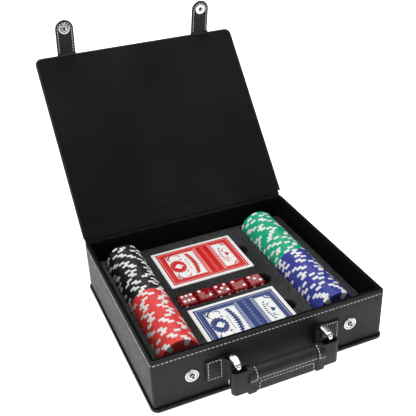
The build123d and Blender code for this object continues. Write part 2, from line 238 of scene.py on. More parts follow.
LEATHER = leather("black_leather", (0.013, 0.013, 0.0135))
SOFT_LEATHER = leather("soft_black_leather", (0.021, 0.021, 0.0215), 0.52, 900)
LID_VELVET = pile("lid_velvet", (0.009, 0.009, 0.0092), 0.1, (0.5, 0.5, 0.52))
# the walls' lining: its own black, made darker than the lid's velvet and given no sheen as painted shade on
# the inner walls
LINING = pile("wall_velvet", (0.002, 0.002, 0.002), 0.0, (0.4, 0.4, 0.4))
FLOCK = pile("flocked_foam", (0.046, 0.046, 0.047), 0.12, (0.6, 0.6, 0.62), 720, 16.0, 0.25)
CHROME = metal("chrome")
SNAP_STEEL = metal("snap_steel", (0.66, 0.66, 0.67), 0.2)
# painted shade: a near-black metal laid on the snaps' bores, grooves and holes, where shade falls
PAINTED_SHADE_METAL = metal("painted_shade_metal", (0.03, 0.03, 0.032), 0.45)
THREAD = thread("grey_thread", (0.8, 0.8, 0.79))
CHIP_COLOURS = {
    "black": plastic("chip_black", (0.013, 0.013, 0.014)),
    "red": plastic("chip_red", (0.80, 0.062, 0.062)),
    "green": plastic("chip_green", (0.001, 0.42, 0.22)),
    "blue": plastic("chip_blue", (0.038, 0.052, 0.32)),
}
CHIP_WHITE = plastic("chip_white", (0.86, 0.86, 0.84), 0.45, 0.05)
CARD_WHITE = printed("card_white", (0.88, 0.88, 0.86))
INKS = {
    "red": (printed("ink_red", (0.62, 0.008, 0.012)), printed("ink_pale_red", (0.75, 0.10, 0.09))),
    "blue": (printed("ink_blue", (0.008, 0.035, 0.17)), printed("ink_pale_blue", (0.10, 0.13, 0.32))),
}
DIE_RED = clear_red("die_red")
PIP_WHITE = plastic("pip_white", (0.9, 0.9, 0.88), 0.4, 0.03)

# ---------------------------------------------------------------- mesh tools


def rounded(x0, x1, y0, y1, r, r_low=None, arc=7, edge=1):
    """Outline of a rounded rectangle; r_low is the radius at the two y0 corners, edge the parts per side."""
    low = r if r_low is None else r_low
    corners = ((x1, y0, -90, low, -1, 1), (x1, y1, 0, r, -1, -1), (x0, y1, 90, r, 1, -1),
               (x0, y0, 180, low, 1, 1))
    points = []
    for cx, cy, start, rad, sx, sy in corners:
        rad = max(rad, 0.02)
        turn = [radians(start + 90 * k / arc) for k in range(arc + 1)]
        fresh = [Vector((cx + sx * rad + rad * cos(a), cy + sy * rad + rad * sin(a))) for a in turn]
        if points and edge > 1:
            points += [points[-1].lerp(fresh[0], k / edge) for k in range(1, edge)]
        points += fresh
    if edge > 1:
        points += [points[-1].lerp(points[0], k / edge) for k in range(1, edge)]
    return points


def smooth_line(points, parts=6):
    """A line through the points with its bends rounded."""
    p = [Vector(q) for q in points]
    p = [2 * p[0] - p[1]] + p + [2 * p[-1] - p[-2]]
    out = []
    for a, b, c, d in zip(p, p[1:], p[2:], p[3:]):
        for k in range(parts):
            t = k / parts
            out.append(0.5 * (2 * b + (c - a) * t + (2 * a - 5 * b + 4 * c - d) * t * t
                              + (3 * b - a - 3 * c + d) * t ** 3))
    return out + [p[-2]]


class Shell:
    """Vertices and faces of one piece, in millimetres."""

    def __init__(self):
        self.verts, self.faces, self.mats = [], [], []

    def add(self, verts, faces, mat=0):
        base = len(self.verts)
        self.verts += [Vector(v) for v in verts]
        self.faces += [[base + i for i in f] for f in faces]
        self.mats += mat if isinstance(mat, list) else [mat] * len(faces)

    def loft(self, rings, mat=0, caps=True):
        n = len(rings[0])
        faces = [(k * n + i, k * n + (i + 1) % n, (k + 1) * n + (i + 1) % n, (k + 1) * n + i)
                 for k in range(len(rings) - 1) for i in range(n)]
        if caps:
            last = (len(rings) - 1) * n
            faces += [tuple(reversed(range(n))), tuple(range(last, last + n))]
        self.add([p for ring in rings for p in ring], faces, mat)

    def lathe(self, profile, at, axis, mat=0, steps=48, dark=()):
        """A turned solid: profile is (radius, height) pairs; the spans listed in dark take material 1."""
        turn = UP.rotation_difference(Vector(axis))
        rings = [[at + turn @ Vector((r * cos(2 * pi * i / steps), r * sin(2 * pi * i / steps), h))
                  for i in range(steps)] for r, h in profile]
        spans = [1 if k in dark else mat for k in range(len(profile) - 1) for _ in range(steps)]
        self.loft(rings, spans + [mat, mat])

    def strip(self, path, across, width, thick, mat=0):
        """A strip with rounded edges along path. across is its width's direction; width may be a list."""
        rings = []
        for i, p in enumerate(path):
            along = (path[min(i + 1, len(path) - 1)] - path[max(i - 1, 0)]).normalized()
            out = along.cross(across).normalized()
            half = (width[i] if isinstance(width, list) else width) / 2
            round_off = min(half, thick / 2) * 0.85
            rings.append([p + across * q.x + out * q.y
                          for q in rounded(-half, half, -thick / 2, thick / 2, round_off, arc=3)])
        self.loft(rings, mat)

    def seam(self, path, out, mat=1, pitch=3.8, dash=2.6, width=0.68, high=0.32):
        """Thread dashes along path. out is the surface's normal, or a list with one for each point."""
        outs = out if isinstance(out, list) else [out] * len(path)
        lengths = [(b - a).length for a, b in zip(path, path[1:])]
        count = max(1, round(sum(lengths) / pitch))
        step = sum(lengths) / count
        for k in range(count):
            want = (k + 0.5) * step
            i = 0
            while i < len(lengths) - 1 and want > lengths[i]:
                want -= lengths[i]
                i += 1
            t = want / max(lengths[i], 1e-9)
            centre = path[i].lerp(path[i + 1], t)
            along = (path[i + 1] - path[i]).normalized()
            normal = outs[i].lerp(outs[i + 1], t)
            normal = (normal - along * normal.dot(along)).normalized()
            side = along.cross(normal)
            rings = [[centre + along * (u * dash / 2) + side * (s * cos(a) * width / 2)
                      + normal * (s * sin(a) * high)
                      for a in [pi * j / 4 for j in range(8)]]
                     for u, s in ((-1, 0.3), (-0.82, 0.8), (-0.3, 1), (0.3, 1), (0.82, 0.8), (1, 0.3))]
            self.loft(rings, mat)

    def plate(self, outline, low, high, mat=0):
        self.loft([[(x, y, z) for x, y in outline] for z in (low, high)], mat)

    def build(self, name, materials, body, slot, replaces=(), sharp=38):
        mesh = bpy.data.meshes.new(name)
        mesh.from_pydata([v * MM for v in self.verts], [], self.faces)
        for m in materials:
            mesh.materials.append(m)
        mesh.polygons.foreach_set("material_index", self.mats)
        bm = bmesh.new()
        bm.from_mesh(mesh)
        bmesh.ops.remove_doubles(bm, verts=bm.verts, dist=2e-7)
        bmesh.ops.recalc_face_normals(bm, faces=bm.faces)
        bm.to_mesh(mesh)
        bm.free()
        mesh.polygons.foreach_set("use_smooth", [True] * len(mesh.polygons))
        mesh.set_sharp_from_angle(angle=radians(sharp))
        obj = bpy.data.objects.new(name, mesh)
        bpy.context.scene.collection.objects.link(obj)
        if body:
            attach(obj, body)
        if replaces:
            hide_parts(*replaces)
        return obj


# ---------------------------------------------------------------- case: walls, lining, insert
wall_lo, wall_hi = box_mm("front_wall")[0], box_mm("back_wall")[1]
x1, y1, z_low, z_rim = wall_hi.x, wall_hi.y, wall_lo.z, wall_hi.z
CORNER_R = 3.0
STITCH_DROP = 4.0       # from the rim to the walls' seam

walls = Shell()
WALL_PROFILE = (
    (1.0, 0.02), (0.35, 0.2), (0.05, 0.75), (0, 1.6), (0, 12), (0, 24), (0, 36), (0, 46.4), (0.06, 46.8),
    (0.22, 47.3), (0.22, 47.7), (0.06, 48.2), (0, 48.6), (0, 49.8), (0.12, 50.5), (0.45, 51.1), (0.95, 51.42),
    (1.45, 51.45), (2.0, 51.38), (2.6, 51.45), (3.1, 51.4), (3.6, 51.05), (3.9, 50.4), (4.0, 49.4), (4.0, 20),
    (4.0, 0.02))
rings = []
for inset, rise in WALL_PROFILE:
    outline = rounded(-x1 + inset, x1 - inset, -y1 + inset, y1 - inset, CORNER_R - 0.6 * inset, edge=6)
    rings.append([(p.x, p.y, z_low + rise) for p in outline])
walls.loft(rings + rings[:1], caps=False)
stitch_z = z_rim - STITCH_DROP
loop = rounded(-x1 + 0.1, x1 - 0.1, -y1 + 0.1, y1 - 0.1, CORNER_R, arc=6)
loop.append(loop[0])
normals = []
for p in loop:
    reach = Vector((abs(p.x) - (x1 - CORNER_R), abs(p.y) - (y1 - CORNER_R)))
    reach = Vector((max(reach.x, 0) * math.copysign(1, p.x), max(reach.y, 0) * math.copysign(1, p.y)))
    normals.append(Vector((*reach.normalized(), 0)))
walls.seam([Vector((p.x, p.y, stitch_z)) for p in loop], normals)
walls.build("case_wall_leather", [LEATHER, THREAD], "case", "black_leather",
            ("front_wall", "back_wall", "left_wall", "right_wall"))

lining = Shell()
LINING_PROFILE = ((3.95, 0.05), (3.95, 49.2), (3.8, 51.0), (1.8, 51.3), (1.85, 51.52), (2.3, 51.66),
                  (3.4, 51.66), (4.3, 51.45), (4.85, 50.8), (5.0, 49.6), (5.0, 30), (5.0, 0.05))
rings = [[(p.x, p.y, z_low + rise) for p in rounded(-x1 + i, x1 - i, -y1 + i, y1 - i, 2.6 - 0.3 * i)]
         for i, rise in LINING_PROFILE]
lining.loft(rings + rings[:1], caps=False)
lining.build("wall_velvet_lining", [LINING], "case", "black_lining", ("wall_lining",))


def remeshed(node, name, voxel_mm, smooth):
    """A copy of a CAD node's shape as an even mesh with softened edges."""
    temp = bpy.data.objects.new(name + "_cut", bpy.data.objects[frame["nodes"][node].name].data.copy())
    bpy.context.scene.collection.objects.link(temp)
    mod = temp.modifiers.new("even", "REMESH")
    mod.mode, mod.voxel_size, mod.use_smooth_shade = "VOXEL", voxel_mm * MM, True
    soft = temp.modifiers.new("soft", "SMOOTH")
    soft.factor, soft.iterations = 0.5, smooth
    graph = bpy.context.evaluated_depsgraph_get()
    mesh = bpy.data.meshes.new_from_object(temp.evaluated_get(graph))
    mesh.name = name
    bpy.data.objects.remove(temp)
    obj = bpy.data.objects.new(name, mesh)
    bpy.context.scene.collection.objects.link(obj)
    return obj


insert = remeshed("foam_insert", "foam_insert_flocked", 0.8, 3)
for v in insert.data.vertices:
    v.co.z += 0.06 * MM * noise.noise(v.co * 90)
insert.data.materials.clear()
insert.data.materials.append(FLOCK)
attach(insert, "case")
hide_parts("foam_insert")

# ---------------------------------------------------------------- chips
CHIP_T, CHIP_PITCH, CHIP_COUNT = 3.3, 3.34, 25
CHIP_STEPS, BLOCK_EVERY, BLOCK_STEPS = 60, 10, 3
CHIP_PROFILE = ((3.0, -1.42), (12.4, -1.42), (12.9, -1.62), (19.1, -1.65), (19.45, -1.35), (19.75, -0.95),
                (19.75, 0.95), (19.45, 1.35), (19.1, 1.65), (12.9, 1.62), (12.4, 1.42), (3.0, 1.42))
BLOCK_FROM = 2      # first profile span that the edge blocks cover
TURN_LEAST, TURN_MOST = radians(5), radians(25)     # between one chip and the next
draw = random.Random(7)
for colour, material in CHIP_COLOURS.items():
    lo, hi = box_mm(f"chips_{colour}")
    x, z = (lo.x + hi.x) / 2, (lo.z + hi.z) / 2
    rows, turn = Shell(), draw.uniform(0, pi / 3)
    drift = draw.choice((-1, 1))
    for k in range(CHIP_COUNT):
        y = hi.y - CHIP_T / 2 - k * CHIP_PITCH
        drift = -drift if draw.random() < 0.45 else drift
        turn += drift * draw.uniform(TURN_LEAST, TURN_MOST)
        dx, dz = draw.uniform(-0.1, 0.1), draw.uniform(-0.08, 0.02)
        angles = [turn + 2 * pi * i / CHIP_STEPS for i in range(CHIP_STEPS)]
        ring_points = [[(x + dx + r * sin(a), y + h, z + dz + r * cos(a)) for a in angles]
                       for r, h in CHIP_PROFILE]
        spans = len(CHIP_PROFILE) - 1
        marks = [int(BLOCK_FROM <= s < spans - BLOCK_FROM and i % BLOCK_EVERY < BLOCK_STEPS)
                 for s in range(spans) for i in range(CHIP_STEPS)]
        rows.loft(ring_points, marks + [0, 0])
    rows.build(f"chip_row_{colour}", [material, CHIP_WHITE], f"{colour}_chips", f"chip_{colour}",
               (f"chips_{colour}",), 30)

# ---------------------------------------------------------------- card boxes with generic printed art
INK, PALE, WHITE = 1, 2, 0
LAYER = 0.03


def heart(size, flip=1):
    points = []
    for k in range(28):
        t = 2 * pi * k / 28
        points.append((size * sin(t) ** 3 * 0.95,
                       flip * size * (13 * cos(t) - 5 * cos(2 * t) - 2 * cos(3 * t) - cos(4 * t)) / 17))
    return points


def spade(size):
    body = heart(size, -1)
    foot = [(0.1, -0.35), (0.16, -0.7), (0.42, -1.05), (-0.42, -1.05), (-0.16, -0.7), (-0.1, -0.35)]
    lobes = [p for p in body[1:] if not (abs(p[0]) < 0.1 * size and p[1] < 0)]
    right = [p for p in lobes if p[0] >= 0]
    left = [p for p in lobes if p[0] < 0]
    right.sort(key=lambda p: math.atan2(p[0], -p[1] - 0.1 * size), reverse=True)
    left.sort(key=lambda p: math.atan2(-p[0], -p[1] - 0.1 * size))
    return right + [(a * size, b * size) for a, b in foot] + left


def diamond(size):
    return [(0, size), (0.66 * size, 0), (0, -size), (-0.66 * size, 0)]


def rosette(size, lobes=16):
    return [(size * (1 + 0.07 * cos(lobes * a)) * cos(a), size * (1 + 0.07 * cos(lobes * a)) * sin(a))
            for a in [2 * pi * k / (lobes * 6) for k in range(lobes * 6)]]


def crescent(size, start, sweep):
    """A tapering curl round (0, 0)."""
    turn = [radians(start + sweep * k / 12) for k in range(13)]
    outer = [(size * cos(a), size * sin(a)) for a in turn]
    inner = [(size * (1 - 0.34 * sin(pi * k / 12)) * cos(a), size * (1 - 0.34 * sin(pi * k / 12)) * sin(a))
             for k, a in enumerate(turn)]
    return outer + inner[-2:0:-1]


def card_box(colour):
    lo, hi = box_mm(f"card_box_{colour}")
    wide, deep, top = hi.x - lo.x, hi.y - lo.y, hi.z
    s = Shell()
    tall = hi.z - lo.z
    profile = ((0.5, 0), (0.14, 0.14), (0, 0.5), (0, tall - 0.5), (0.14, tall - 0.14), (0.5, tall))
    s.loft([[(p.x, p.y, lo.z + rise) for p in rounded(lo.x + i, hi.x - i, lo.y + i, hi.y - i, 0.7 - i, arc=3)]
            for i, rise in profile], WHITE)

    def spot(shape, u, v, layer, mat, turn=0.0):
        """A flat printed shape with its middle at the fraction (u, v) of the face."""
        c, d = cos(radians(turn)), sin(radians(turn))
        s.plate([(lo.x + u * wide + c * a - d * b, lo.y + v * deep + d * a + c * b) for a, b in shape],
                top - LAYER, top + layer * LAYER, mat)

    def bar(u0, u1, v0, v1, layer, mat):
        spot([(0, 0), ((u1 - u0) * wide, 0), ((u1 - u0) * wide, (v1 - v0) * deep), (0, (v1 - v0) * deep)],
             u0, v0, layer, mat)

    def frame_line(u0, u1, v0, v1, thick, layer, mat):
        tu, tv = thick / wide, thick / deep
        bar(u0, u1, v0, v0 + tv, layer, mat)
        bar(u0, u1, v1 - tv, v1, layer, mat)
        bar(u0, u0 + tu, v0 + tv, v1 - tv, layer, mat)
        bar(u1 - tu, u1, v0 + tv, v1 - tv, layer, mat)

    bar(0.042, 0.958, 0.055, 0.945, 1, INK)
    frame_line(0.062, 0.938, 0.082, 0.918, 0.35, 2, WHITE)
    frame_line(0.085, 0.915, 0.115, 0.885, 0.7, 2, PALE)
    for u0, u1 in ((0.125, 0.478), (0.712, 0.882)):
        bar(u0, u1, 0.165, 0.835, 2, WHITE)
        frame_line(u0 + 0.008, u1 - 0.008, 0.177, 0.823, 0.22, 3, PALE)
    for u0 in (0.485, 0.668):
        bar(u0, u0 + 0.04, 0.125, 0.875, 2, PALE)
        bar(u0 + 0.009, u0 + 0.012, 0.125, 0.875, 3, WHITE)
        bar(u0 + 0.028, u0 + 0.031, 0.125, 0.875, 3, WHITE)
    # corner fans on the two white panels
    for u, v, turn in ((0.15, 0.2, 0), (0.15, 0.8, -90), (0.857, 0.2, 90), (0.857, 0.8, 180)):
        for size, layer, mat in ((5.6, 3, INK), (4.0, 4, WHITE), (2.8, 5, INK)):
            fan = [(0, 0)] + [(size * cos(radians(6 * k)), size * sin(radians(6 * k))) for k in range(16)]
            spot([(a - 2.0, b - 2.0) for a, b in fan], u, v, layer, mat, turn)
    # large emblem: a rosette with a spade, between curls
    spot([(0.74 * a, b) for a, b in rosette(11.0)], 0.215, 0.5, 3, INK)
    spot([(0.72 * a, b) for a, b in rosette(9.2, 12)], 0.215, 0.5, 4, PALE)
    spot([(0.72 * a, b) for a, b in rosette(8.4, 12)], 0.215, 0.5, 5, INK)
    spot(spade(4.6), 0.215, 0.5, 6, WHITE, 90)
    for end in (-1, 1):
        spot(crescent(5.6, 60 * end, 190 * end), 0.205, 0.5 + end * 0.25, 3, INK)
        spot(crescent(3.4, 160 * end, -220 * end), 0.262, 0.5 + end * 0.265, 3, INK)
        spot(diamond(1.8), 0.285, 0.5 + end * 0.17, 3, INK, 90)
    # rows of ornaments in place of lines of lettering
    for k in range(-5, 6):
        bend = 0.0011 * k * k
        spot(diamond(3.6 - 0.1 * abs(k)), 0.412 - bend, 0.5 + 0.054 * k, 3, INK, 90 - 3 * k)
    for k in range(-4, 5):
        spot(diamond(0.95), 0.338, 0.5 + 0.036 * k, 3, PALE, 0)
    for k in range(-5, 6):
        shape = (heart(2.35), diamond(2.6), spade(2.2))[k % 3]
        spot(shape, 0.595, 0.5 + 0.066 * k, 2, PALE, 90)
    for k in range(-4, 5):
        spot(diamond(1.7), 0.752 + 0.0016 * k * k, 0.5 + 0.05 * k, 3, INK, 90 + 4 * k)
    spot(heart(3.1), 0.822, 0.5, 3, INK, 90)
    for end in (-1, 1):
        spot(crescent(3.2, 60 * end, 200 * end), 0.822, 0.5 + end * 0.11, 3, INK)
    # side panels: a band with thin borders round the box
    for face in range(4):
        flat = face % 2 == 0
        length = wide if flat else deep
        mid = Vector(((lo.x + hi.x) / 2, (lo.y + hi.y) / 2, (lo.z + hi.z) / 2))
        out = (FRONT, RIGHT, -FRONT, -RIGHT)[face]
        along = UP.cross(out)
        reach = (deep if flat else wide) / 2
        for half_l, half_h, layer, mat in ((length / 2 - 3.2, 6.2, 1, INK), (length / 2 - 6, 4.4, 2, PALE),
                                           (length / 2 - 6.5, 3.9, 3, INK)):
            rings = []
            for lift in (-LAYER, layer * LAYER):
                base = mid + out * (reach + lift)
                rings.append([base + along * a + UP * b for a, b in
                              ((-half_l, -half_h), (half_l, -half_h), (half_l, half_h), (-half_l, half_h))])
            s.loft(rings, mat)
    s.build(f"card_box_{colour}_printed", [CARD_WHITE, *INKS[colour]], f"{colour}_pack", f"card_{colour}",
            (f"card_box_{colour}",))


for colour in ("red", "blue"):
    card_box(colour)

# ---------------------------------------------------------------- dice
DIE_R, PIP_AT = 2.4, 4.4
EDGE_PARTS = (0.2, 0.5, 0.8)      # where the rounding is divided
PIPS = {1: [(0, 0)], 2: [(-1, 1), (1, -1)], 3: [(-1, 1), (0, 0), (1, -1)],
        4: [(-1, 1), (1, -1), (-1, -1), (1, 1)],
        5: [(-1, 1), (1, -1), (-1, -1), (1, 1), (0, 0)],
        6: [(-1, 1), (0, 1), (1, 1), (-1, -1), (0, -1), (1, -1)]}
# top, front and right faces, and the turn in degrees
DICE = ((6, 2, 3, 1.2), (2, 1, 4, -2.6), (5, 4, 1, 1.8), (2, 6, 3, -1.4), (3, 5, 6, 2.2))
SIX_SPREAD = 0.86       # the six's rows stand closer together
PIP_PROFILE = ((0.3, 0.06), (1.1, 0.07), (1.45, 0.06), (1.6, 0.0), (1.6, -0.3), (0.3, -0.35))
for number, (top, front, right, yaw) in enumerate(DICE, 1):
    lo, hi = box_mm(f"die_{number}")
    centre, half = (lo + hi) / 2, (hi.x - lo.x) / 2
    core = half - DIE_R
    marks = [-half, *(-half + part * DIE_R for part in EDGE_PARTS), -core, 0, core,
             *(half - part * DIE_R for part in reversed(EDGE_PARTS)), half]
    spin = Matrix.Rotation(radians(yaw), 3, "Z")
    die = Shell()
    for out, value in ((UP, top), (-UP, 7 - top), (FRONT, front), (-FRONT, 7 - front),
                       (RIGHT, right), (-RIGHT, 7 - right)):
        a = RIGHT if abs(out.x) < 0.5 else -FRONT
        b = out.cross(a)
        grid = []
        for u in marks:
            for v in marks:
                p = out * half + a * u + b * v
                inner = Vector([max(-core, min(core, c)) for c in p])
                grid.append(centre + spin @ (inner + (p - inner).normalized() * DIE_R))
        n = len(marks)
        die.add(grid, [(i * n + j, (i + 1) * n + j, (i + 1) * n + j + 1, i * n + j + 1)
                       for i in range(n - 1) for j in range(n - 1)])
        for u, v in PIPS[value]:
            spread = SIX_SPREAD if value == 6 and abs(v) == 1 else 1.0
            at = out * half + a * (u * PIP_AT) + b * (v * PIP_AT * spread)
            die.lathe(PIP_PROFILE, centre + spin @ at, spin @ out, 1, 24)
    die.build(f"clear_die_{number}", [DIE_RED, PIP_WHITE], f"loose_die_{number}", "die_red",
              (f"die_{number}",), 50)

# ---------------------------------------------------------------- lid
joints = {j["name"]: j for j in frame["record"]["behaviour"]["joints"]}
HINGE = Vector(joints["lid_hinge"]["pos_m"]) / MM
LEAN = radians(-joints["lid_hinge"]["range_deg"][0] - 90)
LID_UP = Vector((0, sin(LEAN), cos(LEAN)))
LID_IN = Vector((0, -cos(LEAN), sin(LEAN)))
lid_lo, lid_hi = box_mm("lid_board")
LID_HALF_W, LID_MID_X = (lid_hi.x - lid_lo.x) / 2, (lid_hi.x + lid_lo.x) / 2
LID_START, LID_END = 3.0, 205.1
INSET, PAD_START = 2.6, 13.5    # of the padded lining: from the sides, and from the hinge axis
LID_BACK = -3.4


def on_lid(x, s, n):
    """A point of the lid: x across, s up from the hinge axis, n out of the lined face."""
    return HINGE + RIGHT * x + LID_UP * s + LID_IN * n


def lid_ring(inset, n, low_extra=0.0, r=7.0, r_low=1.0, **more):
    outline = rounded(-LID_HALF_W + inset, LID_HALF_W - inset, LID_START + inset + low_extra, LID_END - inset,
                      max(r - inset, 1.2), max(r_low - inset, 0.6), **more)
    return [on_lid(LID_MID_X + p.x, p.y, n) for p in outline]


LINING_LOW = PAD_START - LID_START - INSET      # the padding starts this much further in at the hinge
RECESS_LOW = 0.4        # the recess starts this much further in at the hinge
PAD_GAP, PAD_LOW_R = 0.15, 8.6     # padding to recess, and the corners at the hinge
WRINKLE, WRINKLE_SIZE = 0.16, 26
lid = Shell()
LID_PROFILE = ((5.0, -3.4), (1.9, -3.4), (0.9, -3.2), (0.25, -2.7), (0.0, -1.9), (0.0, -0.5), (0.2, 0.3),
               (0.5, 0.8), (0.95, 1.05), (1.6, 1.1), (2.2, 1.02), (2.5, 0.75))
rings = [lid_ring(i, n, edge=8) for i, n in LID_PROFILE]
rings += [lid_ring(INSET, n, RECESS_LOW, 8.6, 3.6, edge=8) for n in (0.4, -0.35)]
lid.loft(rings)
BACK_SEAM_IN, BACK_SEAM_LOW, BACK_SEAM_R = 4.2, 26.5, 5
back = rounded(-LID_HALF_W + BACK_SEAM_IN, LID_HALF_W - BACK_SEAM_IN, BACK_SEAM_LOW, LID_END - BACK_SEAM_IN,
               BACK_SEAM_R, edge=2)
lid.seam([on_lid(LID_MID_X + p.x, p.y, LID_BACK) for p in back + back[:1]], -LID_IN)
lid.build("lid_leather", [LEATHER, THREAD], "lid", "black_leather", ("lid_board",))

pad = Shell()
PAD_PROFILE = ((0.25, -0.3), (0.05, 0.1), (0.15, 0.45), (0.6, 0.78), (1.4, 0.95), (2.8, 1.05), (5, 1.12),
               (9, 1.2), (15, 1.3), (22, 1.4), (30, 1.48), (40, 1.56), (52, 1.62), (66, 1.66), (80, 1.68),
               (91, 1.7))
rings = []
for i, n in PAD_PROFILE:
    ring = lid_ring(INSET + PAD_GAP + i, n, LINING_LOW * (1 - i / 120), PAD_LOW_R, PAD_LOW_R, edge=26)
    rings.append([p + LID_IN * (WRINKLE * min(1, i / 6) * noise.noise(p / WRINKLE_SIZE)) for p in ring])
pad.loft(rings)
velvet = pad.build("lid_velvet_pad", [LID_VELVET], "lid", "lid_velvet", ("lid_lining",), 60)

# hinge leather: up the back wall, round the hinge axis and onto the lid's outer face
hinge_lo, hinge_hi = box_mm("hinge_strip")
HINGE_LIFT = 0.55       # of the strip's middle, off the wall
HINGE_SEAM_IN, HINGE_SEAM_S, HINGE_SEAM_N, HINGE_SEAM_RISE = 5, 21.5, -4.45, 2.5
wall_face = y1 + HINGE_LIFT
low_part = [Vector((0, wall_face, hinge_lo.z + z)) for z in (0, 12, 24, 34, 41, 44.5, 46.6)]
fold = [HINGE.copy(), on_lid(0, 1.2, -1.9), on_lid(0, 2.5, -3.3), on_lid(0, 4.6, -3.9)]
high_part = [on_lid(0, s, -3.95) for s in (7.5, 12, 18, 24)]
hinge = Shell()
hinge.strip(smooth_line(low_part + fold + high_part, 5), RIGHT, hinge_hi.x - hinge_lo.x, 1.0)
seam_ends = (-x1 + HINGE_SEAM_IN, x1 - HINGE_SEAM_IN)
hinge.seam([on_lid(x, HINGE_SEAM_S, HINGE_SEAM_N) for x in seam_ends], -LID_IN)
hinge.seam([Vector((x, wall_face + 0.5, hinge_lo.z + HINGE_SEAM_RISE)) for x in seam_ends], -FRONT)
hinge_leather = hinge.build("hinge_leather", [SOFT_LEATHER, THREAD], None, "black_leather", ("hinge_strip",))
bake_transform(hinge_leather)

# hinge lining: one length of fabric from the back rim, through the fold, to under the lid's padding
fold_cloth = Shell()
RIM_PATH = ((-2.6, -0.1), (-1.6, 0.12), (-0.6, 0.35))
FOLD_PATH = ((0.4, 1.15), (2.2, 1.2), (4.2, 1.22), (6.5, 1.05), (10, 0.85), (14.4, 0.5))
cloth_path = [Vector((0, y1 + back_by, z_rim + rise)) for back_by, rise in RIM_PATH]
cloth_path += [on_lid(0, s, n) for s, n in FOLD_PATH]
fold_cloth.strip(smooth_line(cloth_path, 5), RIGHT, 2 * (LID_HALF_W - INSET - 0.3), 0.4)
cloth = fold_cloth.build("hinge_lining_velvet", [LID_VELVET], None, "lid_velvet", ("hinge_lining",), 60)
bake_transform(cloth)

# ---------------------------------------------------------------- straps and snaps
strap_lo, strap_hi = box_mm("closing_strap_right")
STRAP_X, STRAP_W, STRAP_T = (strap_lo.x + strap_hi.x) / 2, strap_hi.x - strap_lo.x, 1.8
FOLD_S, FOLD_N, SNAP_AT, STRAP_TIP = 206.9, -0.6, 29.0, 38.5
SOCKET = ((0.4, -0.35), (0.85, -0.3), (1.15, 0.2), (1.95, 0.4), (2.15, 0.75), (2.5, 0.9), (3.3, 0.78),
          (4.1, 0.7), (4.8, 0.8), (5.4, 0.98), (5.9, 0.92), (6.2, 0.6), (6.25, 0.2), (6.1, -0.1), (1.0, -0.6))
CAP = ((0.6, 1.62), (2.0, 1.58), (3.6, 1.4), (4.9, 1.08), (5.8, 0.62), (6.2, 0.2), (6.1, -0.1), (0.6, -0.2))
ROOT_PATH = ((179, -4.38), (185, -4.38), (192, -4.38), (199, -4.38), (203.2, -4.36), (205.6, -3.9),
             (206.8, -2.6))
TIP_TURNS = (-28, -14, 0, 12, 24, 35, 45, 54, 62, 69, 75, 80, 84, 87, 89)      # round the tip, in degrees
TUCK_PATH = ((203.4, 1.45), (204.9, 1.3), (206.0, 0.6))        # over the lid's free edge
STRAP_SEAM_IN, SEAM_FROM = 2.3, 0.8
ROOT_SEAM_LOW, ROOT_SEAM_HIGH, ROOT_SEAM_N = 181.3, 203, -5.28
# a dark disc filling the socket's hole: painted shade
SNAP_HOLE_SHADE = ((0.3, 0.05), (1.5, 0.05), (1.5, -0.3), (0.3, -0.3))
for side, sign in SIDES:
    x = sign * STRAP_X
    tilt = LEAN - pi / 2 - radians(joints[f"strap_{side}_fold"]["range_deg"][0])
    up, inward = Vector((0, sin(tilt), cos(tilt))), Vector((0, -cos(tilt), sin(tilt)))
    fold_at = on_lid(x, FOLD_S, FOLD_N)
    root = [on_lid(x, s, n) for s, n in ROOT_PATH]
    free = [fold_at + up * d for d in (0.2, 3, 7, 12, 18, 24)]
    path = smooth_line(root + free, 5)
    radius = STRAP_W / 2
    start = STRAP_TIP - radius
    path = path[:-1] + [fold_at + up * (start + radius * sin(radians(a))) for a in TIP_TURNS]
    widths = []
    for p in path:
        past = (p - fold_at).dot(up) - start
        half = radius if past <= 0 else radius * math.sqrt(max(0.0004, 1 - (past / radius) ** 2))
        widths.append(2 * half)
    strap = Shell()
    strap.strip(path, RIGHT, widths, STRAP_T)
    tuck = [on_lid(x, s, n) for s, n in TUCK_PATH] + [fold_at + up * 1.6 + inward * 0.3]
    strap.strip(smooth_line(tuck, 4), RIGHT, STRAP_W, 0.9)
    # thread along both edges and round the tip, on both faces
    inner = radius - STRAP_SEAM_IN
    for face in (1, -1):
        edge_line = [p for p in path if SEAM_FROM < (p - fold_at).dot(up) < start]
        surface = inward * (face * STRAP_T / 2)
        run = [p - RIGHT * inner + surface for p in edge_line]
        run += [fold_at + up * (start + inner * sin(a)) - RIGHT * (inner * cos(a)) + surface
                for a in [pi * k / 14 for k in range(15)]]
        run += [p + RIGHT * inner + surface for p in reversed(edge_line)]
        strap.seam(run, inward * face, pitch=3.3, dash=2.3)
    back_line = [(-inner, ROOT_SEAM_HIGH), (-inner, ROOT_SEAM_LOW), (inner, ROOT_SEAM_LOW),
                 (inner, ROOT_SEAM_HIGH)]
    strap.seam([on_lid(x + a, s, ROOT_SEAM_N) for a, s in back_line], -LID_IN, pitch=3.3, dash=2.3)
    piece = strap.build(f"closing_strap_leather_{side}", [SOFT_LEATHER, THREAD], None, "black_leather",
                        (f"strap_root_{side}", f"closing_strap_{side}"))
    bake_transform(piece)
    at = fold_at + up * SNAP_AT
    for name, profile, out, node in (("snap_socket_metal", SOCKET, inward, "snap_socket"),
                                     ("snap_cap_metal", CAP, -inward, "snap_cap")):
        part = Shell()
        # the socket's innermost spans take the painted-shade metal: painted shade in its hollow
        part.lathe(profile, at + out * (STRAP_T / 2), out, dark=(0, 1) if node == "snap_socket" else ())
        if node == "snap_socket":
            part.lathe(SNAP_HOLE_SHADE, at + out * (STRAP_T / 2), out, 1, 24)
        part.build(f"{name}_{side}", [SNAP_STEEL, PAINTED_SHADE_METAL], f"strap_{side}", "chrome", (f"{node}_{side}",),
                   60)

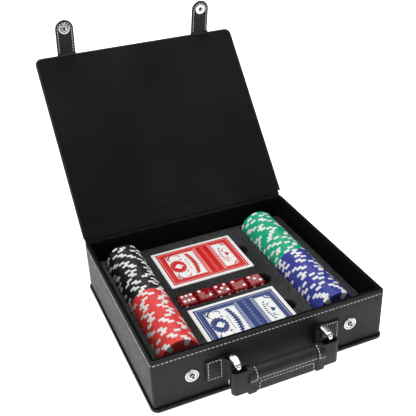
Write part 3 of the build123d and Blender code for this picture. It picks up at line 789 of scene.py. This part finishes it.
STUD = ((0.15, -0.6), (1.15, -0.6), (1.2, 2.5), (1.35, 2.82), (1.65, 2.82), (1.9, 2.5), (1.85, 1.4),
        (2.1, 1.0), (2.6, 0.85), (3.1, 0.95), (3.5, 1.15), (3.9, 1.0), (4.3, 0.72), (4.9, 0.78), (5.5, 1.05),
        (6.1, 0.95), (6.5, 0.6), (6.6, 0.15), (6.5, -0.1), (0.15, -0.7))
STUD_SHADE_SPANS = (0, 1, 6, 7, 12)        # profile spans given the painted-shade metal: painted shade in the bore and the grooves
# a dark disc filling the stud's bore: painted shade
STUD_HOLE_SHADE = ((0.2, 1.6), (0.9, 1.6), (0.9, 1.0), (0.2, 1.0))
for side, sign in SIDES:
    lo, hi = box_mm(f"snap_stud_{side}")
    at = Vector(((lo.x + hi.x) / 2, -y1, (lo.z + hi.z) / 2))
    part = Shell()
    part.lathe(STUD, at, FRONT, dark=STUD_SHADE_SPANS)
    part.lathe(STUD_HOLE_SHADE, at, FRONT, 1, 24)
    part.build(f"snap_stud_metal_{side}", [SNAP_STEEL, PAINTED_SHADE_METAL], "case", "chrome", (f"snap_stud_{side}",),
               60)

# ---------------------------------------------------------------- handle
strip_lo, strip_hi = box_mm("handle_loop_left")
tab_lo, tab_hi = box_mm("handle_tab_left")
STRIP_MID, STRIP_H = (strip_lo.z + strip_hi.z) / 2, strip_hi.z - strip_lo.z
TAB_MID, TAB_H = (tab_lo.z + tab_hi.z) / 2, tab_hi.z - tab_lo.z
STITCH_IN = 1.6         # from the tab's edge to its sewn line
SLEEVE_OUT, SLEEVE_R = 4.5, 3.95
LOOP_END_X = -strip_lo.x - SLEEVE_OUT
pivots = {name: Vector(joints[name]["pos_m"]) / MM for name in ("ring_left_swing", "handle_swing")}
TAB_Y, LOOP_Y = pivots["ring_left_swing"].y, pivots["handle_swing"].y
RING_X = -pivots["ring_left_swing"].x
# the tab's two layers of leather, as (x, y) from above, and its sewn rectangle
TAB_OUTER = ((66.3, -102.25), (62, -102.25), (56, -102.25), (51.2, -102.35), (49.5, -104.2))
TAB_INNER = ((49.5, -101.5), (56, -101.45), (66.0, -101.45))
TAB_SEAM_Y, TAB_SEAM_NEAR, TAB_SEAM_FAR = -102.66, 51.7, 63.9
LOOP_TAIL = (34, 37, 40, 44)
for side, sign in SIDES:

    def flat(x, y, z=STRIP_MID):
        return Vector((sign * x, y, z))

    # tab: doubled leather sewn to the wall and wrapped round the ring's inner bar
    wrap = [(RING_X + SLEEVE_R * cos(radians(a)), TAB_Y - SLEEVE_R * sin(radians(a)))
            for a in range(20, 275, 15)]
    lead = [flat(*q, TAB_MID) for q in TAB_OUTER]
    tail = [flat(*q, TAB_MID) for q in TAB_INNER]
    tab = Shell()
    tab.strip(smooth_line(lead, 4) + [flat(*q, TAB_MID) for q in wrap] + tail, UP, TAB_H, 0.85)
    low, high = TAB_MID - TAB_H / 2 + STITCH_IN, TAB_MID + TAB_H / 2 - STITCH_IN
    sewn = [flat(a, TAB_SEAM_Y, z) for a, z in (
        (TAB_SEAM_NEAR, high), (TAB_SEAM_FAR, high), (TAB_SEAM_FAR, low), (TAB_SEAM_NEAR, low),
        (TAB_SEAM_NEAR, high))]
    tab.seam(sewn, FRONT, pitch=2.9, dash=1.9)
    tab.build(f"handle_tab_leather_{side}", [SOFT_LEATHER, THREAD], "case", "black_leather",
              (f"handle_tab_{side}",))

    # loop: the handle's end strip folded round the ring's outer bar
    turn = [flat(LOOP_END_X + SLEEVE_R * cos(radians(a)), LOOP_Y + SLEEVE_R * sin(radians(a)))
            for a in range(90, -91, -12)]
    path = ([flat(x, LOOP_Y + SLEEVE_R) for x in LOOP_TAIL] + turn
            + [flat(x, LOOP_Y - SLEEVE_R) for x in reversed(LOOP_TAIL)])
    loop_piece = Shell()
    loop_piece.strip(path, UP, STRIP_H, 1.1)
    loop_piece.build(f"handle_loop_leather_{side}", [SOFT_LEATHER], "handle", "black_leather",
                     (f"handle_loop_{side}",))

# rings: bar bent to a rounded rectangle, widest midway, so that it is a leaf shape from above
RING_BAR, RING_CORNER, LENS_X, LENS_Y = 2.8, 5.0, 3.75, 10.5
for side, sign in SIDES:
    lo, hi = box_mm(f"ring_{side}")
    middle = (lo + hi) / 2
    reach_y, reach_z = (hi.y - lo.y - RING_BAR) / 2, (hi.z - lo.z - RING_BAR) / 2
    bend = rounded(-reach_y, reach_y, -reach_z, reach_z, RING_CORNER - RING_BAR / 2, arc=8, edge=8)
    section = rounded(-1, 1, -RING_BAR / 2, RING_BAR / 2, 0.45, arc=4)
    rings = []
    for i, q in enumerate(bend):
        along = (bend[(i + 1) % len(bend)] - bend[i - 1]).normalized()
        ring = []
        for u, v in section:
            y, z = q.x + along.y * v, q.y - along.x * v
            ring.append(middle + Vector((u * LENS_X * math.sqrt(1 - (y / LENS_Y) ** 2), y, z)))
        rings.append(ring)
    hoop = Shell()
    hoop.loft(rings + rings[:1], caps=False)
    hoop.build(f"ring_metal_{side}", [CHROME], f"handle_ring_{side}", "chrome", (f"ring_{side}",), 50)

# grip: a stuffed roll over a flat flap, one leather, with a band round each end
ROLL_R, ROLL_Z = 6.4, 29.2
FLAP_HALF, FLAP_LOW = 3.6, 10.2
GRIP_HALF, BAND_IN = 37.0, 29.0        # from the grip's middle to its end, and to its bands
SEAM_TURN = -24         # degrees from straight out at the front, where the crease is


def grip_ring(x, grow, squeeze=1.0):
    """The grip's outline at x: round above, flat below, with the sewn crease on its front."""
    r = ROLL_R * squeeze + grow
    points = []
    for a in range(SEAM_TURN, 205, 10):       # from the front crease over the top to the back
        points.append((-r * cos(radians(a)), ROLL_Z + r * sin(radians(a))))
    half = FLAP_HALF + grow
    points += [(r * 0.84, ROLL_Z - r * 0.56), (half + 0.5, 24.0), (half, 21.5), (half, 16.0),
               (half - 0.1, 12.0), (half - 0.9, FLAP_LOW - grow + 0.35), (half - 2.2, FLAP_LOW - grow),
               (-half + 2.2, FLAP_LOW - grow),
               (-half + 0.9, FLAP_LOW - grow + 0.35), (-half + 0.1, 12.0), (-half, 16.0), (-half - 0.1, 20.5),
               (-half - 0.75, 23.4), (-r * 0.865, ROLL_Z - r * 0.505)]
    return [Vector((x, LOOP_Y + a, b)) for a, b in points]


grip = Shell()
under_band = [BAND_IN, 32, 35, GRIP_HALF - 0.1]
stations = [-x for x in reversed(under_band)] + [-27 + 3 * k for k in range(19)] + under_band
rings = []
for x in stations:
    swell = 0.985 + 0.02 * cos(pi * x / (2 * BAND_IN)) if abs(x) < BAND_IN else 0.97
    ring = grip_ring(x, 0.0, swell)
    rings.append([p + Vector((0, p.y - LOOP_Y, p.z - ROLL_Z + 4)).normalized() * 0.12 * noise.noise(p / 7)
                  for p in ring])
grip.loft(rings)
seam_a = radians(SEAM_TURN + 3)
seam_out = Vector((0, -cos(seam_a), sin(seam_a)))
seam_at = Vector((0, LOOP_Y, ROLL_Z)) + seam_out * (ROLL_R - 0.05)
grip.seam([seam_at + RIGHT * x for x in (-BAND_IN + 0.5, BAND_IN - 0.5)], seam_out, pitch=3.1, dash=2.1)
# the flap's sewn patch, as (x, z)
patch = [(-26.5, 11.3), (-26.5, 19.2), (-25.8, 20.6), (-24.0, 21.1),
         (24.0, 21.1), (25.8, 20.6), (26.5, 19.2), (26.5, 11.3)]
grip.seam([Vector((x, LOOP_Y - FLAP_HALF - (0.04 if z < 20 else 0.25), z)) for x, z in patch],
          Vector((0, -1, 0.05)),
          pitch=3.1, dash=2.1)
roll = grip.build("grip_leather", [SOFT_LEATHER, THREAD], "handle", "black_leather",
                  ("grip_roll", "grip_flap"), 50)
BAND_PROFILE = ((0.05, 0.1), (0.12, 0.55), (0.5, 0.8), (2.5, 0.82), (4.0, 0.84), (5.5, 0.82), (7.5, 0.8),
                (7.88, 0.55), (7.95, 0.1))
for side, sign in SIDES:
    band = Shell()
    rings = [grip_ring(sign * (BAND_IN + d), g) for d, g in BAND_PROFILE]
    band.loft(rings)
    arc_line, arc_out = [], []
    for a in range(-16, 101, 9):
        out = Vector((0, -cos(radians(a)), sin(radians(a))))
        bow = 0.9 * cos(radians(a - 42))
        arc_line.append(Vector((sign * (BAND_IN + 1.3 - 0.3 * bow), LOOP_Y, ROLL_Z)) + out * (ROLL_R + 0.8))
        arc_out.append(out)
    band.seam(arc_line, arc_out, pitch=2.5, dash=1.9)
    band_seam = Vector((0, LOOP_Y, ROLL_Z)) + seam_out * (ROLL_R + 0.76)
    band.seam([band_seam + RIGHT * (sign * x) for x in (BAND_IN + 0.6, GRIP_HALF - 0.6)], seam_out,
              pitch=2.6, dash=1.9)
    band.build(f"grip_band_leather_{side}", [SOFT_LEATHER, THREAD], "handle", "black_leather",
               (f"grip_band_{side}",), 50)

# ---------------------------------------------------------------- CAD nodes that stay
for node, material in (("base_board", LEATHER), ("handle_core_strip", SOFT_LEATHER),
                       ("playing_cards_red", CARD_WHITE), ("playing_cards_blue", CARD_WHITE)):
    for holder in frame["nodes"][node].material_slots:
        holder.material = material

# ---------------------------------------------------------------- floor, light, camera
FLOOR_HALF = 6.0
floor_mesh = bpy.data.meshes.new("floor")
floor_mesh.from_pydata([(-FLOOR_HALF, -FLOOR_HALF, 0), (FLOOR_HALF, -FLOOR_HALF, 0),
                        (FLOOR_HALF, FLOOR_HALF, 0),
                        (-FLOOR_HALF, FLOOR_HALF, 0)], [], [(0, 1, 2, 3)])
paper = Finish("floor_paper", Specular_IOR_Level=0.1, Emission_Color=(1, 1, 1, 1), Emission_Strength=0.85)
paper.put("Base Color", paper.ramp(paper.noise(3.0), (0.3, (0.9, 0.9, 0.9)), (0.7, (0.93, 0.93, 0.93))))
paper.put("Roughness", paper.span(paper.noise(40), 0.8, 0.95))
floor_mesh.materials.append(paper.mat)
floor = bpy.data.objects.new("floor", floor_mesh)
bpy.context.scene.collection.objects.link(floor)

world = bpy.data.worlds.new("studio")
bpy.context.scene.world = world
world.use_nodes = True
world.node_tree.nodes["Background"].inputs["Color"].default_value = (1, 1, 1, 1)
world.node_tree.nodes["Background"].inputs["Strength"].default_value = 0.13

LIGHTS = (
    ("top_softbox", (0.15, 0.1, 1.5), (0, 0, 0.05), 1.1, 17.5),
    ("left_softbox", (-1.25, -0.25, 0.62), (0, 0, 0.05), 0.9, 6.0),
    ("front_fill", (0.5, -1.4, 0.9), (0, 0, 0.05), 0.9, 2.2),
    ("back_rim", (0.3, 1.2, 1.0), (0, 0.05, 0.1), 0.9, 5.0),
)
for name, at, aim, size, power in LIGHTS:
    lamp = bpy.data.lights.new(name, "AREA")
    lamp.shape, lamp.size, lamp.energy = "SQUARE", size, power
    holder = bpy.data.objects.new(name, lamp)
    holder.location = at
    holder.rotation_mode = "QUATERNION"
    holder.rotation_quaternion = (Vector(aim) - Vector(at)).to_track_quat("-Z", "Y")
    bpy.context.scene.collection.objects.link(holder)

EYE = Vector((-234.59, -534.85, 459.67))
YAW, PITCH, ROLL, LENS = radians(22.23), radians(30.19), radians(-2.43), 62.70
look = Vector((sin(YAW) * cos(PITCH), cos(YAW) * cos(PITCH), -sin(PITCH)))
side_way = Vector((cos(YAW), -sin(YAW), 0))
over = side_way.cross(look)
across = side_way * cos(ROLL) + over * sin(ROLL)
above = over * cos(ROLL) - side_way * sin(ROLL)
camera = bpy.data.cameras.new("camera")
camera.lens, camera.sensor_width = LENS, 36.0
camera.clip_start, camera.clip_end = 0.02, 20.0
viewer = bpy.data.objects.new("camera", camera)
turned = Matrix((across, above, -look)).transposed().to_4x4()
turned.translation = EYE * MM
viewer.matrix_world = turned
bpy.context.scene.collection.objects.link(viewer)
bpy.context.scene.camera = viewer
bpy.context.scene.view_settings.view_transform = "Standard"
